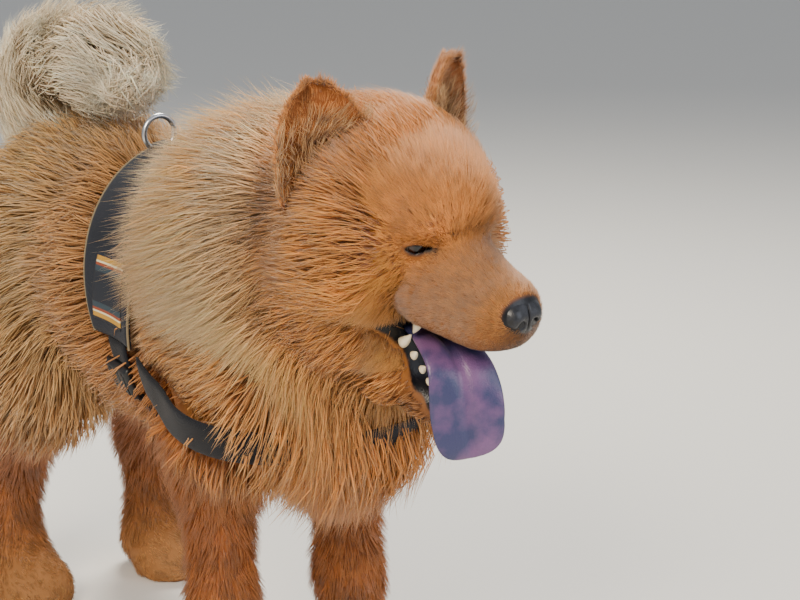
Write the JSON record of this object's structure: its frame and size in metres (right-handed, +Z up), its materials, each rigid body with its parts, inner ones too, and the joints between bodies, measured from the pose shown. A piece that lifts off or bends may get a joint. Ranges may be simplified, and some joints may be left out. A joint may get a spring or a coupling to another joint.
{
  "type": "chow chow",
  "caption": "Standing long-coated chow chow with open mouth, tail curled over its back and padded harness, as a still life-size model.",
  "frame": {"origin": "middle of the bounding box on the floor under the paws", "axes": "+X towards the dog's head, +Y to the dog's left, +Z up"},
  "size_m": [0.862, 0.3786, 0.6808],
  "materials": {
    "coat": "long red-gold double coat, hair",
    "plume": "long pale cream hair of the tail",
    "nose_leather": "moist pebbled skin",
    "tongue": "wet blue-black tongue",
    "eyes": "polished model eye",
    "harness_panel": "padded woven fabric",
    "harness_webbing": "nylon webbing",
    "harness_metal": "welded ring",
    "harness_label": "woven border strip",
    "harness_plastic": "moulded side buckle"
  },
  "bodies": {
    "root": {"ear_left": "coat", "ear_right": "coat", "eye_left": "eyes", "eye_right": "eyes", "foreleg_left": "coat", "foreleg_right": "coat", "forepaw_left": "coat", "forepaw_right": "coat", "harness_buckle_left": "harness_plastic", "harness_buckle_right": "harness_plastic", "harness_chest_strap": "harness_webbing", "harness_girth_strap": "harness_webbing", "harness_handle": "harness_webbing", "harness_label_left": "harness_label", "harness_label_right": "harness_label", "harness_ring": "harness_metal", "harness_saddle": "harness_panel", "head": "coat", "hindleg_left": "coat", "hindleg_right": "coat", "hindpaw_left": "coat", "hindpaw_right": "coat", "lower_jaw": "coat", "muzzle": "coat", "neck": "coat", "nose": "nose_leather", "tail": "plume", "tongue": "tongue", "torso": "coat"}
  },
  "joints": []
}
